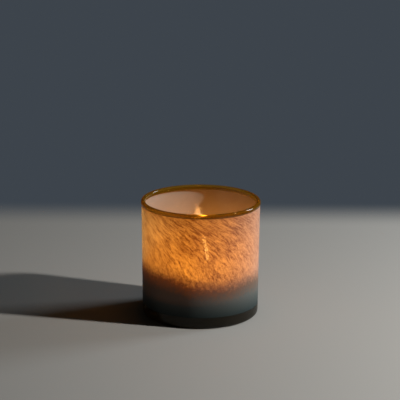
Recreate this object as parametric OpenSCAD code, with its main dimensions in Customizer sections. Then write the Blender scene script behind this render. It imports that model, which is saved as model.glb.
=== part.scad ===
// Tealight holder: a hand-blown cased-glass cylinder with a thick base, and a tealight standing in it.
// Its side narrows a little towards the base.
// Millimetres. Origin at the centre of the base, +Z up. The seam between the two overlays
// slopes, and is highest towards the front left (-X, -Y).

/* [Glass body] */
// Outside diameter of the rounded lip
lip_d = 76; // [70:1:90]
// Overall height
height = 74.5; // [64:0.5:90]
// How far the lip stands out from the side
lip_proud = 0.3; // [0.2:0.1:0.8]
// How much smaller the outside radius is at the base than under the lip
side_taper = 0.8; // [0:0.1:1.5]
// Height of the glass thread that makes the lip
lip_h = 2.9; // [2.6:0.1:4]
// Thickness of the clear amber core at the mouth
core_t = 1.4; // [1.2:0.1:2]
// How much thicker the core is low on its side
core_taper = 0.6; // [0:0.1:1]

/* [Base] */
// Glass under the tealight
base_t = 8.5; // [8:0.5:11]
// Height of the bare amber band at the bottom
foot_h = 7.5; // [6:0.5:8]
// Radius of the outside bottom corner
corner_r = 2.6; // [1.5:0.1:4]
// Radius of the inside bottom corner
well_r = 8; // [5:0.5:10]
// Diameter of the polished hollow under the base
pontil_d = 24; // [16:1:30]
// Depth of that hollow
pontil_h = 0.9; // [0.4:0.1:1.2]

/* [Overlays] */
// Thickness of the coloured glass over the core
overlay_t = 0.8; // [0.5:0.1:1]
// Middle height of the seam between the smoke and frit overlays
seam_z = 27; // [22:0.5:32]
// How far the seam rises from its middle height to its high side
seam_rise = 4; // [0:0.2:5]

/* [Tealight] */
// Diameter of the aluminium cup
cup_d = 37.4; // [36:0.2:38]
// Height of the aluminium cup
cup_h = 16; // [14:0.5:18]
// Depth from the cup's rim to the wax
wax_gap = 2.8; // [2:0.2:4]
// Diameter of the braided wick
wick_d = 1.6; // [1.5:0.1:2]
// Straight length of wick above the wax
wick_up = 3.6; // [2:0.2:5]
// Diameter of its burnt end, less than the braid's
burnt_d = 1.2; // [0.8:0.1:1.4]
// How far the burnt end bends over, in degrees
wick_bend = 50; // [20:5:70]

/* [Hidden] */
$fn = 96;
arc_steps = 8;

body_r = lip_d / 2 - lip_proud;
base_r = body_r - side_taper;
core_r = body_r - overlay_t;
mouth_r = core_r - core_t;
wall_top = height - lip_h;
foot_r = side_r(foot_h);
well_wall_r = side_r(base_t + well_r) - overlay_t - core_t - core_taper;
lip_w = lip_d / 2 - mouth_r + 0.1;
lip_under_r = 0.4;

seam_tilt = atan(seam_rise / body_r);
seam_high_side = [-1, -1];
cutter = 4 * lip_d;

seat_gap = 0.05;
cup_z = base_t + seat_gap;
cup_r = cup_d / 2;
cup_wall = 0.25;
cup_corner_r = 1;
cup_bead_r = 0.45;
cup_bead_out = 0.1;
cup_boss = 0.5;
cup_boss_r = 11.5;
cup_boss_slope = 1;
cup_foot_r = cup_r - cup_corner_r;

wax_r = cup_r - cup_wall;
wax_z = cup_h - wax_gap;
pool_r = wax_r - 2.6;
pool_depth = 0.8;
pool_edge = 1;

disc_r = 6.2;
disc_t = 0.3;
neck_r = 1.35;
neck_h = 3;
disc_z = cup_boss + cup_wall;
wick_r = wick_d / 2;
wick_top_z = wax_z - pool_depth + wick_up;
wick_bend_r = 4.5;
burnt_root = 0.3;

// Outside radius of the tapered side at height z.
function side_r(z) = base_r + side_taper * z / wall_top;

// Points along an arc, from angle a0 to angle a1.
function arc(centre, r, a0, a1) =
    [for (i = [0:arc_steps]) centre + r * [cos(a0 + (a1 - a0) * i / arc_steps),
                                           sin(a0 + (a1 - a0) * i / arc_steps)]];

// The polished hollow: a shallow part of a sphere, from the axis out to the ring it stands on.
function pontil() =
    let (a = pontil_d / 2, r = (a * a + pontil_h * pontil_h) / (2 * pontil_h))
    [for (i = [0:arc_steps]) let (x = a * i / arc_steps) [x, pontil_h - r + sqrt(r * r - x * x)]];

// The side between the foot and the lip, in one layer of overlay glass.
module overlay_sleeve() {
    rotate_extrude()
        polygon([[foot_r - overlay_t, foot_h], [foot_r, foot_h], [body_r, wall_top], [core_r, wall_top]]);
}

// Everything above the sloping seam, or everything below it.
module seam_side(above) {
    translate([0, 0, seam_z])
        rotate(a = seam_tilt, v = [-seam_high_side[1], seam_high_side[0], 0] * -1)
            translate([-cutter / 2, -cutter / 2, above ? 0 : -cutter])
                cube(cutter);
}

module core_glass() {
    color([0.55, 0.30, 0.08, 0.6])
        rotate_extrude()
            polygon(concat(
                pontil(),
                arc([side_r(corner_r) - corner_r, corner_r], corner_r, -90, 0),
                [[foot_r, foot_h], [foot_r - overlay_t, foot_h], [core_r, wall_top], [mouth_r, wall_top]],
                arc([well_wall_r - well_r, base_t + well_r], well_r, 0, -90),
                [[0, base_t]]));
}

module frit_overlay() {
    color([0.86, 0.56, 0.40])
        difference() {
            overlay_sleeve();
            seam_side(above = false);
        }
}

module smoke_overlay() {
    color([0.25, 0.28, 0.27])
        difference() {
            overlay_sleeve();
            seam_side(above = true);
        }
}

module lip_wrap() {
    lip_r = lip_d / 2;
    round_r = lip_w / 2;
    color([0.45, 0.24, 0.04])
        rotate_extrude()
            polygon(concat(
                [[lip_r - lip_w, wall_top]],
                arc([lip_r - lip_under_r, wall_top + lip_under_r], lip_under_r, -90, 0),
                arc([lip_r - round_r, height - round_r], round_r, 0, 90),
                arc([lip_r - round_r, height - round_r], round_r, 90, 180)));
}

module tealight_cup() {
    bead_x = cup_r + cup_bead_out;
    bead_start = -acos(-cup_bead_out / cup_bead_r);
    bead_end = 360 - acos(-(cup_bead_out + cup_wall) / cup_bead_r);
    color([0.80, 0.80, 0.81])
        translate([0, 0, cup_z])
            rotate_extrude()
                polygon(concat(
                    [[0, cup_boss], [cup_boss_r, cup_boss], [cup_boss_r + cup_boss_slope, 0]],
                    arc([cup_foot_r, cup_corner_r], cup_corner_r, -90, 0),
                    arc([bead_x, cup_h - cup_bead_r], cup_bead_r, bead_start, bead_end),
                    arc([cup_foot_r, cup_corner_r], cup_corner_r - cup_wall, 0, -90),
                    [[cup_boss_r + cup_boss_slope, cup_wall], [cup_boss_r, disc_z], [0, disc_z]]));
}

// The wax fills the cup round the wick and its sustainer, with a shallow melted hollow on top.
module wax() {
    color([0.95, 0.92, 0.84])
        translate([0, 0, cup_z])
            rotate_extrude()
                polygon(concat(
                    [[disc_r, disc_z], [cup_boss_r, disc_z], [cup_boss_r + cup_boss_slope, cup_wall]],
                    arc([cup_foot_r, cup_corner_r], cup_corner_r - cup_wall, -90, 0),
                    [[wax_r, wax_z], [pool_r + pool_edge, wax_z]],
                    [[pool_r, wax_z - pool_depth], [wick_r, wax_z - pool_depth]],
                    [[wick_r, disc_z + disc_t + neck_h], [neck_r, disc_z + disc_t + neck_h]],
                    [[neck_r, disc_z + disc_t], [disc_r, disc_z + disc_t]]));
}

// The braided wick: straight out of the sustainer, then bent over at its burnt end.
module wick() {
    start_z = disc_z + disc_t;
    color([0.20, 0.17, 0.15])
        translate([0, 0, cup_z]) {
            translate([0, 0, start_z])
                cylinder(r = wick_r, h = wick_top_z - start_z);
            translate([wick_bend_r, 0, wick_top_z - burnt_root])
                rotate([90, 0, 0])
                    rotate([0, 0, 180 - wick_bend])
                        rotate_extrude(angle = wick_bend)
                            translate([wick_bend_r, 0])
                                circle(d = burnt_d);
        }
}

// A tinplate disc with a short neck that holds the wick upright.
module wick_sustainer() {
    color([0.70, 0.70, 0.68])
        translate([0, 0, cup_z + disc_z])
            rotate_extrude()
                polygon([[0, 0], [disc_r, 0], [disc_r, disc_t], [neck_r, disc_t],
                         [neck_r, disc_t + neck_h], [wick_r, disc_t + neck_h],
                         [wick_r, disc_t], [0, disc_t]]);
}

core_glass();
frit_overlay();
smoke_overlay();
lip_wrap();
tealight_cup();
wax();
wick();
wick_sustainer();
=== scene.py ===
"""Looks of the tealight holder: cased glass, a burning tealight and a plain studio, on the CAD frame."""

import math

import bpy
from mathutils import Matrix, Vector


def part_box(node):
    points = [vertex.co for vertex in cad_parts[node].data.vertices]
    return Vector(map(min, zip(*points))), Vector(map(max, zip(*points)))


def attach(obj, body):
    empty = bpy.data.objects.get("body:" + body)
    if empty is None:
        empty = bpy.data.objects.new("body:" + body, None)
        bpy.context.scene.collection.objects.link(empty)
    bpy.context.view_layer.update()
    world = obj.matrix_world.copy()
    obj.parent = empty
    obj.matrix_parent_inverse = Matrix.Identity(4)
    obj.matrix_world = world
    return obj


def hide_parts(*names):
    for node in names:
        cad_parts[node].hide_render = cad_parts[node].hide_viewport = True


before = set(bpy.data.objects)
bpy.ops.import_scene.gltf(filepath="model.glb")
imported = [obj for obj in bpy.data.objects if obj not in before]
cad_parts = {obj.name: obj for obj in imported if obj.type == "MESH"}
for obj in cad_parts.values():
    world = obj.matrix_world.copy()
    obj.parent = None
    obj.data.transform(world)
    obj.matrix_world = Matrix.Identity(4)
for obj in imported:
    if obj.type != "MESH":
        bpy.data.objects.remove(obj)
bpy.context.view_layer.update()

MM = 0.001
# Faces round each turned piece, and the radius below which a point of its profile is on the axis.
SIDES = 192
ON_AXIS = 1e-7
# Depth of one unit of the slow waves in the blown glass, which add up to four units at most.
WAVE_DEPTH = 0.045 * MM

# Sizes that the boxes of the CAD nodes give.
lip_low, lip_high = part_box("lip_wrap")
frit_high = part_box("frit_overlay")[1]
smoke_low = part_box("smoke_overlay")[0]
cup_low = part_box("tealight_cup")[0]
wax_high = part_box("wax")[1]
wick_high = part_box("wick")[1]
TOP = lip_high.z
LIP_R = lip_high.x
WALL_TOP = lip_low.z
BODY_R = frit_high.x
FOOT_H = smoke_low.z
CUP_Z = cup_low.z
WAX_TOP = wax_high.z

# Sizes inside the glass, as the CAD model has them.
SIDE_TAPER = 0.8 * MM
OVERLAY_T = 0.8 * MM
CORE_T = 1.4 * MM
CORE_TAPER = 0.6 * MM
BASE_T = CUP_Z - 0.05 * MM
CORNER_R = 2.6 * MM
WELL_R = 8 * MM
PONTIL_R = 12 * MM
PONTIL_H = 0.9 * MM
LAYER_GAP = 0.04 * MM
SEAM_Z = 27 * MM
SEAM_RISE = 4.0 * MM

CORE_R = BODY_R - OVERLAY_T
MOUTH_R = CORE_R - CORE_T
WELL_WALL_R = MOUTH_R - CORE_TAPER
SEAM_HIGH = SEAM_Z + SEAM_RISE

# The flame starts part way down the bare wick, and all but its root stands off the axis, over the bent end.
FLAME_BASE = wick_high.z - 4.2 * MM
FLAME_TIP = 54 * MM
FLAME_HEART = 41 * MM
FLAME_R = 3.7 * MM
FLAME_SHIFT = 1.8 * MM


# ---------------------------------------------------------------- mesh tools

def arc(x, z, radius, start, end, steps=8):
    """Points along an arc in the profile plane, angles in degrees."""
    angles = [math.radians(start + (end - start) * i / steps) for i in range(steps + 1)]
    return [(x + radius * math.cos(a), z + radius * math.sin(a)) for a in angles]


def hand_blown(angle, z):
    """Scale of a ring of the glass: it narrows towards the base, with slow waves round it and up it."""
    wave = math.sin(2 * angle + 0.7) + 0.6 * math.sin(3 * angle - 1.1 + z / (22 * MM))
    wave += 0.4 * math.sin(5 * angle + 2.0 - z / (15 * MM))
    taper = SIDE_TAPER * max(0.0, 1 - z / WALL_TOP)
    return 1 - (taper + WAVE_DEPTH * (2 + wave)) / BODY_R


def true_round(angle, z):
    """Scale of a ring of a machine-made piece: none."""
    return 1.0


def lathe(name, profile, slots=None, scale=true_round, lift=None):
    """A solid of revolution from (radius, height) points. slots gives each stretch's material number."""
    verts, rings = [], []
    for radius, z in profile:
        if radius < ON_AXIS:
            rings.append([len(verts)])
            verts.append((0, 0, z))
            continue
        rings.append(list(range(len(verts), len(verts) + SIDES)))
        for i in range(SIDES):
            angle = 2 * math.pi * i / SIDES
            height = z + (lift(angle, z) if lift else 0)
            r = radius * scale(angle, height)
            verts.append((r * math.cos(angle), r * math.sin(angle), height))
    faces, numbers = [], []
    count = len(profile)
    for k in range(count):
        low, high = rings[k], rings[(k + 1) % count]
        if len(low) == 1 and len(high) == 1:
            continue
        for i in range(SIDES):
            j = (i + 1) % SIDES
            if len(low) == 1:
                face = (low[0], high[j], high[i])
            elif len(high) == 1:
                face = (low[i], low[j], high[0])
            else:
                face = (low[i], low[j], high[j], high[i])
            faces.append(face)
            numbers.append(slots[k] if slots else 0)
    return mesh_piece(name, verts, faces, numbers)


def mesh_piece(name, verts, faces, numbers=None, sharp=40):
    """An object from points and faces, smooth but for edges sharper than `sharp` degrees."""
    mesh = bpy.data.meshes.new(name)
    mesh.from_pydata(verts, [], faces)
    mesh.update()
    mesh.shade_smooth()
    mesh.set_sharp_from_angle(angle=math.radians(sharp))
    if numbers:
        mesh.polygons.foreach_set("material_index", numbers)
    piece = bpy.data.objects.new(name, mesh)
    bpy.context.scene.collection.objects.link(piece)
    return piece


def dress(piece, body, slot, *materials, replaces=()):
    """Gives a piece its materials and the body it rides on, and hides the CAD nodes it stands for. The slot
    argument is not used.
    """
    for material in materials:
        piece.data.materials.append(material)
    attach(piece, body)
    if replaces:
        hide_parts(*replaces)
    return piece


# ---------------------------------------------------------------- shader tools

def new_material(name):
    material = bpy.data.materials.new(name)
    material.use_nodes = True
    material.node_tree.nodes.clear()
    return material, material.node_tree


def add(tree, kind, inputs=None, **settings):
    """Adds a node. An input is a value, or the output socket that feeds it."""
    node = tree.nodes.new("ShaderNode" + kind)
    for key, value in settings.items():
        setattr(node, key, value)
    for key, value in (inputs or {}).items():
        if isinstance(value, bpy.types.NodeSocket):
            tree.links.new(value, node.inputs[key])
        else:
            node.inputs[key].default_value = value
    return node


def maths(tree, operation, a, b=0.0, c=0.0, clamp=False):
    return add(tree, "Math", {0: a, 1: b, 2: c}, operation=operation, use_clamp=clamp).outputs[0]


def remap(tree, value, low, high, to_low=0.0, to_high=1.0, smooth=False):
    kind = "SMOOTHSTEP" if smooth else "LINEAR"
    inputs = {"Value": value, "From Min": low, "From Max": high, "To Min": to_low, "To Max": to_high}
    return add(tree, "MapRange", inputs, interpolation_type=kind).outputs["Result"]


def blend_colour(tree, factor, a, b):
    return add(tree, "Mix", {0: factor, 6: a, 7: b}, data_type="RGBA").outputs[2]


def noise(tree, vector, scale, detail=2.0, rough=0.5):
    inputs = {"Vector": vector, "Scale": scale, "Detail": detail, "Roughness": rough}
    return add(tree, "TexNoise", inputs).outputs["Fac"]


def bump(tree, height, strength, distance):
    inputs = {"Height": height, "Strength": strength, "Distance": distance}
    return add(tree, "Bump", inputs).outputs["Normal"]


def mix_shaders(tree, factor, a, b):
    return add(tree, "MixShader", {0: factor, 1: a, 2: b}).outputs[0]


def finish_material(tree, surface):
    add(tree, "OutputMaterial", {"Surface": surface})


def place(tree):
    """The shaded point on the piece, in metres, and its height."""
    point = add(tree, "TexCoord").outputs["Object"]
    height = add(tree, "SeparateXYZ", {0: point}).outputs["Z"]
    return point, height


# ---------------------------------------------------------------- overlay glass

# The colour streaks wind round the wall: flat near the lip, steep near the seam.
STEEP_DRIFT = 0.36
FLAT_DRIFT = 0.62
DRIFT_CURVE = 2.6
DRIFT_SPAN = 46 * MM


def wound_point(tree, point, height, squeeze):
    """The point turned about the axis so that a streak stands straight up, and squeezed along it."""
    above = maths(tree, "MAXIMUM", maths(tree, "SUBTRACT", height, SEAM_Z), 0.0)
    curved = maths(tree, "POWER", maths(tree, "DIVIDE", above, DRIFT_SPAN), DRIFT_CURVE)
    steady = maths(tree, "MULTIPLY", height, STEEP_DRIFT)
    drift = maths(tree, "MULTIPLY_ADD", curved, FLAT_DRIFT * DRIFT_SPAN, steady)
    angle = maths(tree, "DIVIDE", drift, BODY_R)
    wander = add(tree, "TexNoise", {"Vector": point, "Scale": 90.0, "Detail": 1.0}).outputs["Color"]
    wander = add(tree, "VectorMath", {0: wander, 1: (0.5, 0.5, 0.5)}, operation="SUBTRACT").outputs[0]
    wander = add(tree, "VectorMath", {0: wander, 3: 3.0 * MM}, operation="SCALE").outputs[0]
    moved = add(tree, "VectorMath", {0: point, 1: wander}, operation="ADD").outputs[0]
    turned = add(tree, "VectorRotate", {"Vector": moved, "Angle": angle}, rotation_type="Z_AXIS").outputs[0]
    return add(tree, "VectorMath", {0: turned, 1: (1.0, 1.0, squeeze)}, operation="MULTIPLY").outputs[0]


def facing_side(tree, point, side):
    """1 where the wall faces this side of the holder, 0 a quarter turn away from it."""
    way = (math.cos(side) / BODY_R, math.sin(side) / BODY_R, 0)
    return add(tree, "VectorMath", {0: point, 1: way}, operation="DOT_PRODUCT").outputs["Value"]


# The colours' seam: the mottle's full height, half the height it fades over, and its shift from the
# CAD model's seam.
SEAM_MOTTLE = 11.0 * MM
SEAM_SOFT = 8.0 * MM
SEAM_LIFT = -0.4 * MM
# The broad drip of frit: its side, the facing_side value at its edges, and its depth.
DRIP_SIDE = math.radians(-79)
DRIP_EDGE = 0.72
DRIP_DEPTH = 4.0 * MM


def smoke_share(tree, point, height):
    """0 in the frit, 1 in the smoke: soft and mottled at the sloping seam, with one broad drip of frit."""
    parts = add(tree, "SeparateXYZ", {0: point})
    slope = SEAM_RISE / (BODY_R * math.sqrt(2))
    lean = maths(tree, "ADD", parts.outputs["X"], parts.outputs["Y"])
    seam = maths(tree, "MULTIPLY_ADD", lean, -slope, SEAM_Z + SEAM_LIFT)
    drip = remap(tree, facing_side(tree, point, DRIP_SIDE), DRIP_EDGE, 1.0, 0.0, DRIP_DEPTH, smooth=True)
    seam = maths(tree, "SUBTRACT", seam, drip)
    mottle = noise(tree, point, 520.0, detail=3.0, rough=0.7)
    mottle = maths(tree, "MULTIPLY", maths(tree, "SUBTRACT", mottle, 0.5), SEAM_MOTTLE)
    above = maths(tree, "SUBTRACT", maths(tree, "ADD", height, mottle), seam)
    return remap(tree, above, SEAM_SOFT, -SEAM_SOFT)


# Heights are scaled by this before the noise is read, so a streak is 2.4 times as long as it is wide.
STREAK_SQUEEZE = 0.42
# What each size of mark adds to the pattern.
STREAK_SHARE = 0.60
FLECK_SHARE = 0.40
GRAIN_SHARE = 0.30
CLOUD_SHARE = 0.18
# The sums at which the pattern is all thin glass and all thick frit.
PATTERN_THIN = 0.53
PATTERN_THICK = 0.90
# The streaks are densest on this side, and fade into an even tone away from it.
DENSE_SIDE = math.radians(-84)
PLAIN_LEVEL = 0.48


def frit_pattern(tree, point, height):
    """Streak darkness from 0, thin amber glass, to 1, thick frit."""
    along = wound_point(tree, point, height, STREAK_SQUEEZE)
    streak = noise(tree, along, 440.0, detail=3.0, rough=0.7)
    fleck = noise(tree, along, 1150.0, detail=2.0, rough=0.6)
    grain = noise(tree, point, 1200.0, detail=2.0, rough=0.7)
    cloud = noise(tree, point, 75.0, detail=1.0)
    total = maths(tree, "MULTIPLY", streak, STREAK_SHARE)
    for mark, share in ((fleck, FLECK_SHARE), (grain, GRAIN_SHARE), (cloud, CLOUD_SHARE)):
        total = maths(tree, "MULTIPLY_ADD", mark, share, total)
    dense = facing_side(tree, point, DENSE_SIDE)
    higher = remap(tree, height, SEAM_HIGH + 6 * MM, WALL_TOP, -0.04, 0.03)
    density = maths(tree, "ADD", higher, remap(tree, dense, 0.6, 1.0, 0.0, 0.05, smooth=True))
    total = maths(tree, "ADD", total, density)
    strength = remap(tree, dense, 0.3, 0.95, 0.70, 1.0, smooth=True)
    plain = maths(tree, "MULTIPLY_ADD", strength, -PLAIN_LEVEL, PLAIN_LEVEL)
    return maths(tree, "MULTIPLY_ADD", remap(tree, total, PATTERN_THIN, PATTERN_THICK), strength, plain)


# SHOWN is the colour by reflected light, PASSED the colour let through. Umber is where frit meets smoke.
FRIT_SHOWN = (0.45, 0.33, 0.285, 1)
FRIT_DARK_SHOWN = (0.30, 0.18, 0.13, 1)
SMOKE_SHOWN = (0.106, 0.117, 0.110, 1)
SMOKE_LOW_SHOWN = (0.022, 0.034, 0.035, 1)
FRIT_PASSED = (1.0, 0.76, 0.32, 1)
FRIT_DARK_PASSED = (0.20, 0.085, 0.020, 1)
UMBER_SHOWN = (0.20, 0.13, 0.09, 1)
UMBER_PASSED = (0.20, 0.085, 0.022, 1)
SMOKE_PASSED = (0.060, 0.030, 0.007, 1)
# The smoke is darkest at the foot and this much higher up it has its full colour.
SMOKE_FADE = 11 * MM

# A long thin spot in the front, where the flame shows through: its place, its lean and its half sizes.
SPOT_X = 3.2 * MM
SPOT_Z = 53 * MM
SPOT_LEAN = -0.19
SPOT_WIDE = 1.7 * MM
SPOT_TALL = 10 * MM


def thin_spot(tree, point):
    """1 in the long thin spot, broken up by flecks, and 0 everywhere else."""
    parts = add(tree, "SeparateXYZ", {0: point}).outputs
    up = maths(tree, "SUBTRACT", parts["Z"], SPOT_Z)
    across = maths(tree, "SUBTRACT", parts["X"], maths(tree, "MULTIPLY_ADD", up, SPOT_LEAN, SPOT_X))
    wide = remap(tree, maths(tree, "ABSOLUTE", across), 0.4 * SPOT_WIDE, SPOT_WIDE, 1.0, 0.0, smooth=True)
    tall = remap(tree, maths(tree, "ABSOLUTE", up), 0.6 * SPOT_TALL, SPOT_TALL, 1.0, 0.0, smooth=True)
    front = maths(tree, "LESS_THAN", parts["Y"], 0.0)
    broken = remap(tree, noise(tree, point, 900.0, detail=2.0, rough=0.7), 0.40, 0.60)
    inside = maths(tree, "MULTIPLY", maths(tree, "MULTIPLY", wide, tall), front)
    return maths(tree, "MULTIPLY", inside, broken)


def overlay_colours(tree):
    """Colours that the overlay shows by reflected light and passes from inside, its thickness and smoke."""
    point, height = place(tree)
    smoke = smoke_share(tree, point, height)
    pattern = frit_pattern(tree, point, height)
    shown = blend_colour(tree, pattern, FRIT_SHOWN, FRIT_DARK_SHOWN)
    passed = blend_colour(tree, pattern, FRIT_PASSED, FRIT_DARK_PASSED)
    early = remap(tree, smoke, 0.0, 0.55)
    late = remap(tree, smoke, 0.35, 1.0)
    above_foot = remap(tree, height, FOOT_H, FOOT_H + SMOKE_FADE)
    smoky = blend_colour(tree, above_foot, SMOKE_LOW_SHOWN, SMOKE_SHOWN)
    shown = blend_colour(tree, late, blend_colour(tree, early, shown, UMBER_SHOWN), smoky)
    passed = blend_colour(tree, late, blend_colour(tree, early, passed, UMBER_PASSED), SMOKE_PASSED)
    thick = maths(tree, "MAXIMUM", pattern, smoke)
    return point, shown, passed, thick, smoke


# The flakes in the frit lean outwards, so light passes them best on its way up from the flame.
FLAKE_LEAN = 1.0
# Share of the glow that goes on the way it came, instead of spreading evenly, and how widely it spreads.
FORWARD_SHARE = 0.60
FORWARD_ROUGH = 0.95
FORWARD_IOR = 2.4
# Share of the layer that passes light, in the frit and in the smoke.
FRIT_OPEN = 0.80
SMOKE_OPEN = 0.32
# How much less light gets through the layer along its surface than straight through it.
SLANT_LOSS = 0.8
# Shares seen straight through, at most: all over and in the long thin spot, for the outer and inner face.
OUTER_CLEAR, OUTER_SPOT_CLEAR = 0.22, 0.75
INNER_CLEAR, INNER_SPOT_CLEAR = 0.60, 0.85
THIN_FRIT_TINT = (1.0, 0.80, 0.55, 1)
# The layer is paler on its inner face: its colours there, how far they hide the outer ones, and how much
# light that face passes.
LINING_SHOWN = (0.28, 0.255, 0.255, 1)
LINING_PASSED = (0.9, 0.8, 0.72, 1)
LINING_SHOWN_SHARE = 0.90
LINING_PASSED_SHARE = 0.6
LINING_OPEN = 0.35


def leaning_normal(tree, normal):
    """The normal of flakes that lie in the glass tilted upwards."""
    tilted = add(tree, "VectorMath", {0: normal, 1: (0, 0, FLAKE_LEAN)}, operation="ADD").outputs[0]
    return add(tree, "VectorMath", {0: tilted}, operation="NORMALIZE").outputs[0]


def clear_share(tree, point, thick, most, in_spot):
    """Share of the layer that is seen straight through: up to `most`, and in_spot in the thin spot."""
    thin = maths(tree, "POWER", maths(tree, "SUBTRACT", 1.0, thick, clamp=True), 4.0)
    share = maths(tree, "MULTIPLY", thin, most)
    return maths(tree, "MAXIMUM", share, maths(tree, "MULTIPLY", thin_spot(tree, point), in_spot))


def overlay_outside(name):
    """Satin outer face: reflects softly, and glows where the flame's light comes through."""
    material, tree = new_material(name)
    point, shown, passed, thick, smoke = overlay_colours(tree)
    grain = noise(tree, point, 900.0, detail=3.0, rough=0.7)
    normal = bump(tree, maths(tree, "ADD", grain, thick), 0.25, 0.12 * MM)
    rough = remap(tree, grain, 0.3, 0.7, 0.48, 0.58)
    inputs = {
        "Base Color": shown,
        "Roughness": rough,
        "Normal": normal,
        "IOR": 1.45,
        "Specular IOR Level": 0.15,
    }
    body = add(tree, "BsdfPrincipled", inputs)
    leaning = leaning_normal(tree, normal)
    spread = add(tree, "BsdfTranslucent", {"Color": passed, "Normal": leaning})
    inputs = {"Color": passed, "Roughness": FORWARD_ROUGH, "IOR": FORWARD_IOR, "Normal": normal}
    forward = add(tree, "BsdfRefraction", inputs)
    glow = mix_shaders(tree, FORWARD_SHARE, spread.outputs[0], forward.outputs[0])
    facing = add(tree, "LayerWeight", {"Blend": 0.5, "Normal": normal}).outputs["Facing"]
    kept = maths(tree, "MULTIPLY_ADD", facing, -SLANT_LOSS, 1.0)
    open_share = maths(tree, "MULTIPLY", remap(tree, smoke, 0.0, 1.0, FRIT_OPEN, SMOKE_OPEN), kept)
    wall = mix_shaders(tree, open_share, body.outputs[0], glow)
    seen_through = clear_share(tree, point, thick, OUTER_CLEAR, OUTER_SPOT_CLEAR)
    clear = add(tree, "BsdfTransparent", {"Color": THIN_FRIT_TINT})
    finish_material(tree, mix_shaders(tree, seen_through, wall, clear.outputs[0]))
    return material


def overlay_inside(name):
    """Inner face of the overlay, against the core: lets the lamps' light on into the layer."""
    material, tree = new_material(name)
    point, shown, passed, thick, _ = overlay_colours(tree)
    pale = blend_colour(tree, LINING_SHOWN_SHARE, shown, LINING_SHOWN)
    passed = blend_colour(tree, LINING_PASSED_SHARE, passed, LINING_PASSED)
    raised = leaning_normal(tree, add(tree, "NewGeometry").outputs["Normal"])
    body = add(tree, "BsdfPrincipled", {"Base Color": pale, "Roughness": 0.6, "Normal": raised})
    glow = add(tree, "BsdfTranslucent", {"Color": passed})
    wall = mix_shaders(tree, LINING_OPEN, body.outputs[0], glow.outputs[0])
    shadow = add(tree, "LightPath").outputs["Is Shadow Ray"]
    clear = add(tree, "BsdfTransparent", {"Color": (1, 1, 1, 1)})
    seen_through = clear_share(tree, point, thick, INNER_CLEAR, INNER_SPOT_CLEAR)
    seen_through = maths(tree, "MAXIMUM", shadow, seen_through)
    finish_material(tree, mix_shaders(tree, seen_through, wall, clear.outputs[0]))
    return material


# ---------------------------------------------------------------- clear amber glass

# Share of light that glass mirrors when it is looked at straight on.
GLASS_MIRROR = 0.043


def thin_amber(name, tint, shiny=True):
    """Wall of the core: too thin to bend the view, it tints what is behind it and mirrors the flame."""
    material, tree = new_material(name)
    clear = add(tree, "BsdfTransparent", {"Color": tint})
    surface = clear.outputs[0]
    if shiny:
        point, _ = place(tree)
        ripple = bump(tree, noise(tree, point, 45.0, detail=1.0), 0.02, 0.3 * MM)
        gloss = add(tree, "BsdfGlossy", {"Color": (1, 1, 1, 1), "Roughness": 0.11, "Normal": ripple})
        facing = add(tree, "LayerWeight", {"Blend": 0.5, "Normal": ripple}).outputs["Facing"]
        grazing = maths(tree, "POWER", facing, 5.0)
        mirrored = maths(tree, "MULTIPLY_ADD", grazing, 1.0 - GLASS_MIRROR, GLASS_MIRROR)
        surface = mix_shaders(tree, mirrored, surface, gloss.outputs[0])
    finish_material(tree, surface)
    return material


def thick_amber(name, tint, depth, milky, rough=0.02):
    """Solid amber glass that bends light; lamps reach what is behind it through a tinted shadow.

    depth is the colour of the seeds and fine bubbles in it, and milky is the share of light they scatter.
    """
    material, tree = new_material(name)
    point, _ = place(tree)
    ripple = bump(tree, noise(tree, point, 120.0, detail=1.0), 0.15, 0.3 * MM)
    inputs = {
        "Base Color": tint,
        "Roughness": rough,
        "Transmission Weight": 1.0,
        "IOR": 1.42,
        "Specular IOR Level": 0.05,
        "Normal": ripple,
    }
    glass = add(tree, "BsdfPrincipled", inputs)
    front = add(tree, "BsdfDiffuse", {"Color": depth})
    back = add(tree, "BsdfTranslucent", {"Color": depth})
    seeds = mix_shaders(tree, 0.5, front.outputs[0], back.outputs[0])
    solid = mix_shaders(tree, milky, glass.outputs[0], seeds)
    shadow = add(tree, "LightPath").outputs["Is Shadow Ray"]
    clear = add(tree, "BsdfTransparent", {"Color": tint})
    finish_material(tree, mix_shaders(tree, shadow, solid, clear.outputs[0]))
    return material


# ---------------------------------------------------------------- tealight materials

def cup_aluminium():
    material, tree = new_material("cup_aluminium")
    point, height = place(tree)
    stretched = add(tree, "VectorMath", {0: point, 1: (1.0, 1.0, 0.15)}, operation="MULTIPLY").outputs[0]
    draw = noise(tree, stretched, 1800.0, detail=2.0)
    dent = noise(tree, point, 140.0, detail=2.0)
    rough = remap(tree, draw, 0.3, 0.7, 0.34, 0.40)
    normal = bump(tree, dent, 0.03, 0.15 * MM)
    tone = blend_colour(tree, dent, (0.80, 0.80, 0.82, 1), (0.90, 0.90, 0.91, 1))
    inputs = {"Base Color": tone, "Metallic": 1.0, "Roughness": rough, "Normal": normal}
    finish_material(tree, add(tree, "BsdfPrincipled", inputs).outputs[0])
    return material


def paraffin():
    material, tree = new_material("paraffin")
    point, _ = place(tree)
    cloud = noise(tree, point, 260.0, detail=3.0, rough=0.6)
    tone = blend_colour(tree, cloud, (0.60, 0.56, 0.50, 1), (0.70, 0.67, 0.62, 1))
    normal = bump(tree, cloud, 0.12, 0.2 * MM)
    inputs = {
        "Base Color": tone,
        "Roughness": 0.35,
        "Normal": normal,
        "Subsurface Weight": 0.7,
        "Subsurface Radius": (1.0, 0.55, 0.3),
        "Subsurface Scale": 2.5 * MM,
        "IOR": 1.44,
    }
    finish_material(tree, add(tree, "BsdfPrincipled", inputs).outputs[0])
    return material


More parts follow.
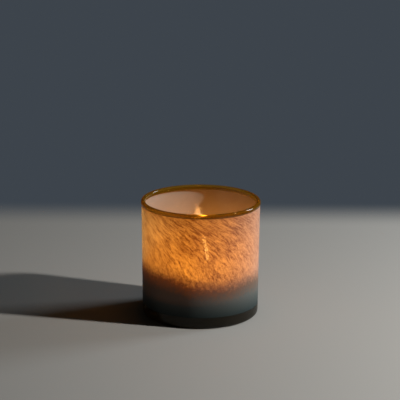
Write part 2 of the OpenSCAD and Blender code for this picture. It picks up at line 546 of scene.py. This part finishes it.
def melted_wax():
    material, tree = new_material("melted_wax")
    inputs = {"Base Color": (1.0, 0.97, 0.90, 1), "Roughness": 0.0, "Transmission Weight": 1.0, "IOR": 1.43}
    liquid = add(tree, "BsdfPrincipled", inputs)
    shadow = add(tree, "LightPath").outputs["Is Shadow Ray"]
    clear = add(tree, "BsdfTransparent", {"Color": (1.0, 0.98, 0.93, 1)})
    finish_material(tree, mix_shaders(tree, shadow, liquid.outputs[0], clear.outputs[0]))
    return material


# The wick is charred from this far above the wax's top, and turns from pale to charred over the same height.
CHAR_START = 1.2 * MM


def cotton(burnt_from):
    """Braided cotton, waxed and pale low down, charred above burnt_from, with an ember at the end."""
    material, tree = new_material("braided_cotton")
    point, height = place(tree)
    fibre = noise(tree, point, 3500.0, detail=3.0, rough=0.7)
    pale = blend_colour(tree, fibre, (0.42, 0.35, 0.26, 1), (0.72, 0.64, 0.50, 1))
    char = blend_colour(tree, fibre, (0.006, 0.005, 0.004, 1), (0.03, 0.022, 0.018, 1))
    burnt = remap(tree, height, burnt_from - CHAR_START, burnt_from, smooth=True)
    tone = blend_colour(tree, burnt, pale, char)
    ember = remap(tree, height, wick_high.z - 1.3 * MM, wick_high.z - 0.2 * MM, 0.0, 5.0, smooth=True)
    normal = bump(tree, fibre, 0.4, 0.1 * MM)
    inputs = {
        "Base Color": tone,
        "Roughness": 0.9,
        "Normal": normal,
        "Emission Color": (1.0, 0.16, 0.02, 1),
        "Emission Strength": ember,
    }
    finish_material(tree, add(tree, "BsdfPrincipled", inputs).outputs[0])
    return material


def tinplate():
    material, tree = new_material("tinplate")
    point, _ = place(tree)
    grain = noise(tree, point, 900.0, detail=2.0)
    rough = remap(tree, grain, 0.3, 0.7, 0.25, 0.4)
    tone = blend_colour(tree, grain, (0.58, 0.58, 0.56, 1), (0.70, 0.70, 0.68, 1))
    inputs = {"Base Color": tone, "Metallic": 1.0, "Roughness": rough}
    finish_material(tree, add(tree, "BsdfPrincipled", inputs).outputs[0])
    return material


# The glass mirrors the flame at its full strength. Seen straight on it is held back, so it stays yellow
# where it would be plain white, though its red and much of its green are still clipped.
FLAME_MIRRORED = 19.0
FLAME_SEEN = 2.4


def flame_light():
    """Burning gas: faint and blue at the root, white-yellow in the middle, orange at the tip."""
    material, tree = new_material("flame_light")
    _, height = place(tree)
    up = remap(tree, height, FLAME_BASE, FLAME_TIP)
    ramp = add(tree, "ValToRGB", {"Fac": up})
    stops = ramp.color_ramp.elements
    stops[0].position = 0.0
    stops[0].color = (0.05, 0.10, 0.45, 1)
    stops[1].position = 1.0
    stops[1].color = (1.0, 0.36, 0.08, 1)
    stops.new(0.16).color = (0.9, 0.40, 0.12, 1)
    stops.new(0.40).color = (1.0, 0.66, 0.30, 1)
    stops.new(0.75).color = (1.0, 0.60, 0.24, 1)
    straight = add(tree, "LightPath").outputs["Is Camera Ray"]
    strength = remap(tree, straight, 0.0, 1.0, FLAME_MIRRORED, FLAME_SEEN)
    emission = add(tree, "Emission", {"Color": ramp.outputs["Color"], "Strength": strength})
    clear = add(tree, "BsdfTransparent")
    body = remap(tree, up, 0.0, 0.28, 0.0, 0.75, smooth=True)
    finish_material(tree, mix_shaders(tree, body, clear.outputs[0], emission.outputs[0]))
    material.cycles.emission_sampling = "NONE"
    return material


# ---------------------------------------------------------------- camera, stage and lamps

CAMERA_PLACE = (-0.0027, -1.311, 0.4287)
CAMERA_PITCH = 15.14
CAMERA_ROLL = 0.35
CAMERA_LENS = 193.0
SENSOR = 36.0


def make_camera():
    data = bpy.data.cameras.new("camera")
    data.lens = CAMERA_LENS
    data.sensor_width = SENSOR
    data.clip_start = 0.01
    data.clip_end = 20.0
    camera = bpy.data.objects.new("camera", data)
    camera.location = CAMERA_PLACE
    camera.rotation_euler = (math.radians(90 - CAMERA_PITCH), math.radians(-CAMERA_ROLL), 0)
    bpy.context.scene.collection.objects.link(camera)
    bpy.context.scene.camera = camera


FLOOR_COLOUR = (0.345, 0.335, 0.315, 1)
FLOOR_EDGE = 0.235
FLOOR_FADE = 0.035


def pale_floor_material():
    """Plain pale surface that fades out at its edges."""
    material, tree = new_material("pale_floor")
    point, _ = place(tree)
    parts = add(tree, "SeparateXYZ", {0: point})
    across = maths(tree, "ABSOLUTE", parts.outputs["X"])
    away = maths(tree, "ABSOLUTE", parts.outputs["Y"])
    far = maths(tree, "MAXIMUM", across, away)
    gone = remap(tree, far, FLOOR_EDGE - FLOOR_FADE, FLOOR_EDGE + FLOOR_FADE, smooth=True)
    surface = add(tree, "BsdfPrincipled", {"Base Color": FLOOR_COLOUR, "Roughness": 0.7})
    clear = add(tree, "BsdfTransparent")
    finish_material(tree, mix_shaders(tree, gone, surface.outputs[0], clear.outputs[0]))
    return material


def make_floor():
    half = FLOOR_EDGE + FLOOR_FADE
    z = -0.1 * MM
    corners = [(-half, -half, z), (half, -half, z), (half, half, z), (-half, half, z)]
    floor = mesh_piece("floor", corners, [(0, 1, 2, 3)])
    floor.data.materials.append(pale_floor_material())


KEY_SIDE = 17.0
KEY_UP = 34.5
KEY_AWAY = 0.85
KEY_WIDE = 0.035
KEY_TALL = 0.055
KEY_POWER = 7.6
KEY_COLOUR = (1.0, 0.97, 0.93)
RIM_PLACE = (0.85, 0.35, 0.38)
RIM_SIZE = 0.30
RIM_POWER = 5.0
RIM_COLOUR = (0.78, 0.90, 1.0)
FILL_COLOUR = (0.86, 0.74, 0.58, 1)
FILL_STRENGTH = 0.012
SLATE = (0.047, 0.058, 0.072, 1)


def add_lamp(name, kind, power, colour, where, **settings):
    data = bpy.data.lights.new(name, kind)
    data.energy = power
    data.color = colour
    for key, value in settings.items():
        setattr(data, key, value)
    lamp = bpy.data.objects.new(name, data)
    lamp.location = where
    bpy.context.scene.collection.objects.link(lamp)
    return lamp


def make_key():
    """A small softbox on the right, a little towards the camera: it gives the shadow its firm edge."""
    side, up = math.radians(KEY_SIDE), math.radians(KEY_UP)
    towards = Vector((math.cos(side) * math.cos(up), -math.sin(side) * math.cos(up), math.sin(up)))
    lamp = add_lamp(
        "key", "AREA", KEY_POWER, KEY_COLOUR, towards * KEY_AWAY,
        shape="RECTANGLE", size=KEY_WIDE, size_y=KEY_TALL,
    )
    lamp.rotation_mode = "QUATERNION"
    lamp.rotation_quaternion = towards.to_track_quat("Z", "Y")


def make_rim():
    """A large cool softbox on the right, behind the holder."""
    where = Vector(RIM_PLACE)
    lamp = add_lamp("rim", "AREA", RIM_POWER, RIM_COLOUR, where, size=RIM_SIZE)
    lamp.visible_transmission = False
    lamp.rotation_mode = "QUATERNION"
    lamp.rotation_quaternion = where.to_track_quat("Z", "Y")


def make_world():
    """Dark slate behind the floor, and a faint warm fill from all round."""
    world = bpy.data.worlds.new("studio")
    world.use_nodes = True
    tree = world.node_tree
    tree.nodes.clear()
    seen = add(tree, "Background", {"Color": SLATE, "Strength": 1.0})
    fill = add(tree, "Background", {"Color": FILL_COLOUR, "Strength": FILL_STRENGTH})
    camera_ray = add(tree, "LightPath").outputs["Is Camera Ray"]
    both = mix_shaders(tree, camera_ray, fill.outputs[0], seen.outputs[0])
    add(tree, "OutputWorld", {"Surface": both})
    bpy.context.scene.world = world


FLAME_POWER = 0.265
# A flame is tall and not a point: nearer than this its light stops getting much stronger.
FLAME_SPREAD = 0.032
FLAME_COLOUR = (1.0, 0.47, 0.11)


def make_flame_lamp():
    heart = (FLAME_SHIFT, 0, FLAME_HEART)
    lamp = add_lamp("flame_lamp", "POINT", FLAME_POWER, FLAME_COLOUR, heart, shadow_soft_size=3 * MM)
    lamp.visible_camera = False
    lamp.visible_glossy = False
    lamp.visible_transmission = False
    lamp.data.use_nodes = True
    tree = lamp.data.node_tree
    tree.nodes.clear()
    softened = add(tree, "LightFalloff", {"Strength": 1.0, "Smooth": FLAME_SPREAD**2}).outputs["Quadratic"]
    add(tree, "OutputLight", {"Surface": add(tree, "Emission", {"Strength": softened}).outputs[0]})
    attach(lamp, "tealight")


# ---------------------------------------------------------------- glass pieces

THIN_TINT = (0.99, 0.975, 0.93, 1)
FOOT_TINT = (0.055, 0.042, 0.018, 1)
FOOT_DEPTH = (0.03, 0.022, 0.008, 1)
FOOT_MILKY = 0.4
FOOT_ROUGH = 0.25
LIP_TINT = (0.32, 0.185, 0.026, 1)
LIP_DEPTH = (0.30, 0.19, 0.010, 1)
LIP_MILKY = 0.18


def pontil(steps=8):
    """The shallow polished hollow under the base."""
    sphere = (PONTIL_R**2 + PONTIL_H**2) / (2 * PONTIL_H)
    radii = [PONTIL_R * i / steps for i in range(steps + 1)]
    return [(r, PONTIL_H - sphere + math.sqrt(sphere**2 - r**2)) for r in radii]


def make_core():
    """Core glass: bare thick foot, thin wall and rounded well, in the slots foot, bonded and inner face."""
    skin = CORE_R - LAYER_GAP
    foot = pontil() + arc(BODY_R - CORNER_R, CORNER_R, CORNER_R, -90, 0, 10) + [(BODY_R, FOOT_H - LAYER_GAP)]
    wall = [(skin, FOOT_H - LAYER_GAP), (skin, WALL_TOP - LAYER_GAP), (MOUTH_R, WALL_TOP - LAYER_GAP)]
    well = arc(WELL_WALL_R - WELL_R, BASE_T + WELL_R, WELL_R, 0, -90, 12) + [(0, BASE_T)]
    profile = foot + wall + well
    slots = [0] * len(foot) + [1, 1, 2] + [0] * len(well)
    core = lathe("blown_core", profile, slots, scale=hand_blown)
    dress(
        core, "holder", "amber_glass",
        thick_amber("amber_foot", FOOT_TINT, FOOT_DEPTH, FOOT_MILKY, rough=FOOT_ROUGH),
        thin_amber("amber_bonded", THIN_TINT, shiny=False),
        thin_amber("amber_wall", THIN_TINT),
        replaces=["core_glass"],
    )


def seam_height(angle):
    """Height of the sloping seam on one side of the holder."""
    return SEAM_Z - SEAM_RISE * math.cos(angle - math.radians(45))


def make_overlay(name, slot, node, low, high, low_sloped):
    """One overlay layer: a sleeve with one material on its outer face and another on its inner face."""
    steps = 24
    heights = [low + (high - low) * i / steps for i in range(steps + 1)]
    outer = [(BODY_R, z) for z in heights]
    inner = [(CORE_R, z) for z in reversed(heights)]
    slots = [0] * steps + [1] * (steps + 2)

    def lift(angle, z):
        """Moves a level ring towards the sloping seam, the more the nearer it is."""
        rise = seam_height(angle) - SEAM_Z
        share = (high - z) / (high - low) if low_sloped else (z - low) / (high - low)
        return rise * share

    piece = lathe(name, outer + inner, slots, scale=hand_blown, lift=lift)
    outside, inside = overlay_outside(name + "_outside"), overlay_inside(name + "_inside")
    dress(piece, "holder", slot, outside, inside, replaces=[node])


def make_lip():
    """The thread of amber glass round the mouth, with a rounded top."""
    width = LIP_R - MOUTH_R + 0.1 * MM
    radius = width / 2
    under = 0.4 * MM
    top = TOP - radius
    profile = [(LIP_R - width, WALL_TOP)]
    profile += arc(LIP_R - under, WALL_TOP + under, under, -90, 0, 6)
    profile += arc(LIP_R - radius, top, radius, 0, 180, 20)
    lip = lathe("lip_thread", profile, scale=hand_blown)
    glass = thick_amber("amber_lip", LIP_TINT, LIP_DEPTH, LIP_MILKY)
    dress(lip, "holder", "lip_glass", glass, replaces=["lip_wrap"])


# ---------------------------------------------------------------- tealight pieces

# The pool of melted wax: how far in from the wax's edge, its shelving rim, and its depths under the top.
POOL_IN = 2.55 * MM
POOL_SLOPE = 0.55 * MM
POOL_BOTTOM = 0.76 * MM
POOL_TOP = 0.28 * MM
MENISCUS = 0.02 * MM


def make_pool():
    """Melted wax lying in the hollow of the wax, with a meniscus at its edge."""
    edge = wax_high.x - POOL_IN
    flat = edge - POOL_SLOPE
    low = WAX_TOP - POOL_BOTTOM
    high = WAX_TOP - POOL_TOP
    profile = [(0, low), (flat, low), (edge, high + MENISCUS), (flat, high), (0, high)]
    pool = lathe("melt_pool", profile)
    dress(pool, "tealight", "wax", melted_wax())


WICK_STRANDS = 3
WICK_LAY = 2.6 * MM
WICK_BEND_R = 4.5 * MM
WICK_BEND = math.radians(50)
# Height above the wax's top where the bend begins.
WICK_BARE = 2.5 * MM
STRAND_R = 0.40 * MM
STRAND_RING_R = 0.34 * MM
# Share of the wick's length that keeps its full thickness, and how much the burnt end loses.
UNBURNT = 0.62
BURNT_LOSS = 0.30


def wick_line():
    """Centre line of the wick: straight up from the sustainer, then over towards +X."""
    bend_low = WAX_TOP + WICK_BARE
    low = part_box("wick_sustainer")[1].z
    straight_steps = 60
    bend_steps = 30
    points = []
    for i in range(straight_steps):
        points.append(Vector((0, 0, low + (bend_low - low) * i / straight_steps)))
    for i in range(bend_steps + 1):
        a = WICK_BEND * i / bend_steps
        points.append(Vector((WICK_BEND_R * (1 - math.cos(a)), 0, bend_low + WICK_BEND_R * math.sin(a))))
    return points


def make_wick():
    """Strands wound round the wick's line, thinner towards the burnt end."""
    line = wick_line()
    ring = 8
    verts, faces = [], []
    travelled = 0.0
    lengths = [0.0]
    for a, b in zip(line, line[1:]):
        travelled += (b - a).length
        lengths.append(travelled)
    for strand in range(WICK_STRANDS):
        start = len(verts)
        for k, centre in enumerate(line):
            ahead = line[min(k + 1, len(line) - 1)] - line[max(k - 1, 0)]
            ahead.normalize()
            side = Vector((0, 1, 0))
            out = side.cross(ahead).normalized()
            share = lengths[k] / travelled
            slim = 1.0 - BURNT_LOSS * max(0.0, (share - UNBURNT) / (1 - UNBURNT))
            turn = 2 * math.pi * (lengths[k] / WICK_LAY + strand / WICK_STRANDS)
            hub = centre + (out * math.cos(turn) + side * math.sin(turn)) * STRAND_RING_R * slim
            thick = STRAND_R * slim
            for i in range(ring):
                a = 2 * math.pi * i / ring
                verts.append(tuple(hub + (out * math.cos(a) + side * math.sin(a)) * thick))
        for k in range(len(line) - 1):
            for i in range(ring):
                j = (i + 1) % ring
                a, b = start + k * ring, start + (k + 1) * ring
                faces.append((a + i, a + j, b + j, b + i))
        faces.append(tuple(start + i for i in reversed(range(ring))))
        last = start + (len(line) - 1) * ring
        faces.append(tuple(last + i for i in range(ring)))
    wick = mesh_piece("braided_wick", verts, faces, sharp=60)
    dress(wick, "tealight", "wick_cotton", cotton(WAX_TOP + CHAR_START), replaces=["wick"])


def flame_profile(width, low, high, steps=36):
    """A candle flame's outline: round and wide in its lower half, drawn out to a point."""
    points = [(0, low)]
    for i in range(1, steps):
        t = i / steps
        swell = math.sin(math.pi * t**0.80) ** 0.9
        points.append((width * swell, low + (high - low) * t))
    points.append((0, high))
    return points


def make_flame():
    """The flame hangs round the bent end of the wick, so all but its root stands off the axis."""
    mantle = lathe("flame", flame_profile(FLAME_R, FLAME_BASE, FLAME_TIP))
    for vertex in mantle.data.vertices:
        up = (vertex.co.z - FLAME_BASE) / (FLAME_TIP - FLAME_BASE)
        vertex.co.x += FLAME_SHIFT * min(1.0, 4 * up)
    dress(mantle, "tealight", "flame", flame_light())
    mantle.visible_diffuse = False
    mantle.visible_shadow = False


def dress_cad_nodes():
    looks = {"tealight_cup": cup_aluminium(), "wax": paraffin(), "wick_sustainer": tinplate()}
    for node, material in looks.items():
        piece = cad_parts[node]
        piece.data.materials.clear()
        piece.data.materials.append(material)


# ---------------------------------------------------------------- the scene

def set_picture():
    scene = bpy.context.scene
    scene.view_settings.view_transform = "Standard"
    scene.cycles.use_denoising = True
    scene.cycles.max_bounces = 16
    scene.cycles.transmission_bounces = 12
    scene.cycles.transparent_max_bounces = 24
    scene.cycles.sample_clamp_indirect = 4.0
    scene.cycles.caustics_refractive = False
    scene.cycles.caustics_reflective = False


make_camera()
make_floor()
make_key()
make_rim()
make_world()
make_flame_lamp()
make_core()
make_overlay("frit_sleeve", "frit_glass", "frit_overlay", SEAM_Z, WALL_TOP - LAYER_GAP, True)
make_overlay("smoke_band", "smoke_glass", "smoke_overlay", FOOT_H, SEAM_Z, False)
make_lip()
make_pool()
make_wick()
make_flame()
dress_cad_nodes()
set_picture()
